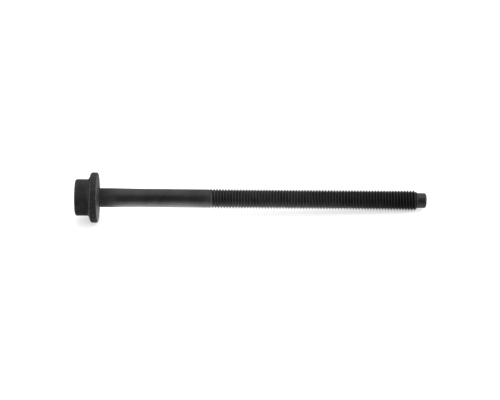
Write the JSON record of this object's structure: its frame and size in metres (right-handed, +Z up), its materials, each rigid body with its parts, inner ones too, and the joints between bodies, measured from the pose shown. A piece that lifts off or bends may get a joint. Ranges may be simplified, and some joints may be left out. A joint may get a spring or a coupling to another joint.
{
  "type": "cylinder head bolt",
  "caption": "Long flanged bolt that clamps a cylinder head: round head with an inside twelve point drive, plain shank, coarse rolled thread and plain point.",
  "frame": {"origin": "centre of the bearing face under the head, on the bolt's axis", "axes": "+X along the bolt's axis from the head to the point; +Z up as the bolt lies"},
  "size_m": [0.2091, 0.03, 0.03],
  "materials": {
    "black_steel": "black phosphated and oiled steel, satin"
  },
  "bodies": {
    "root": {"head_bolt": "black_steel"}
  },
  "joints": []
}
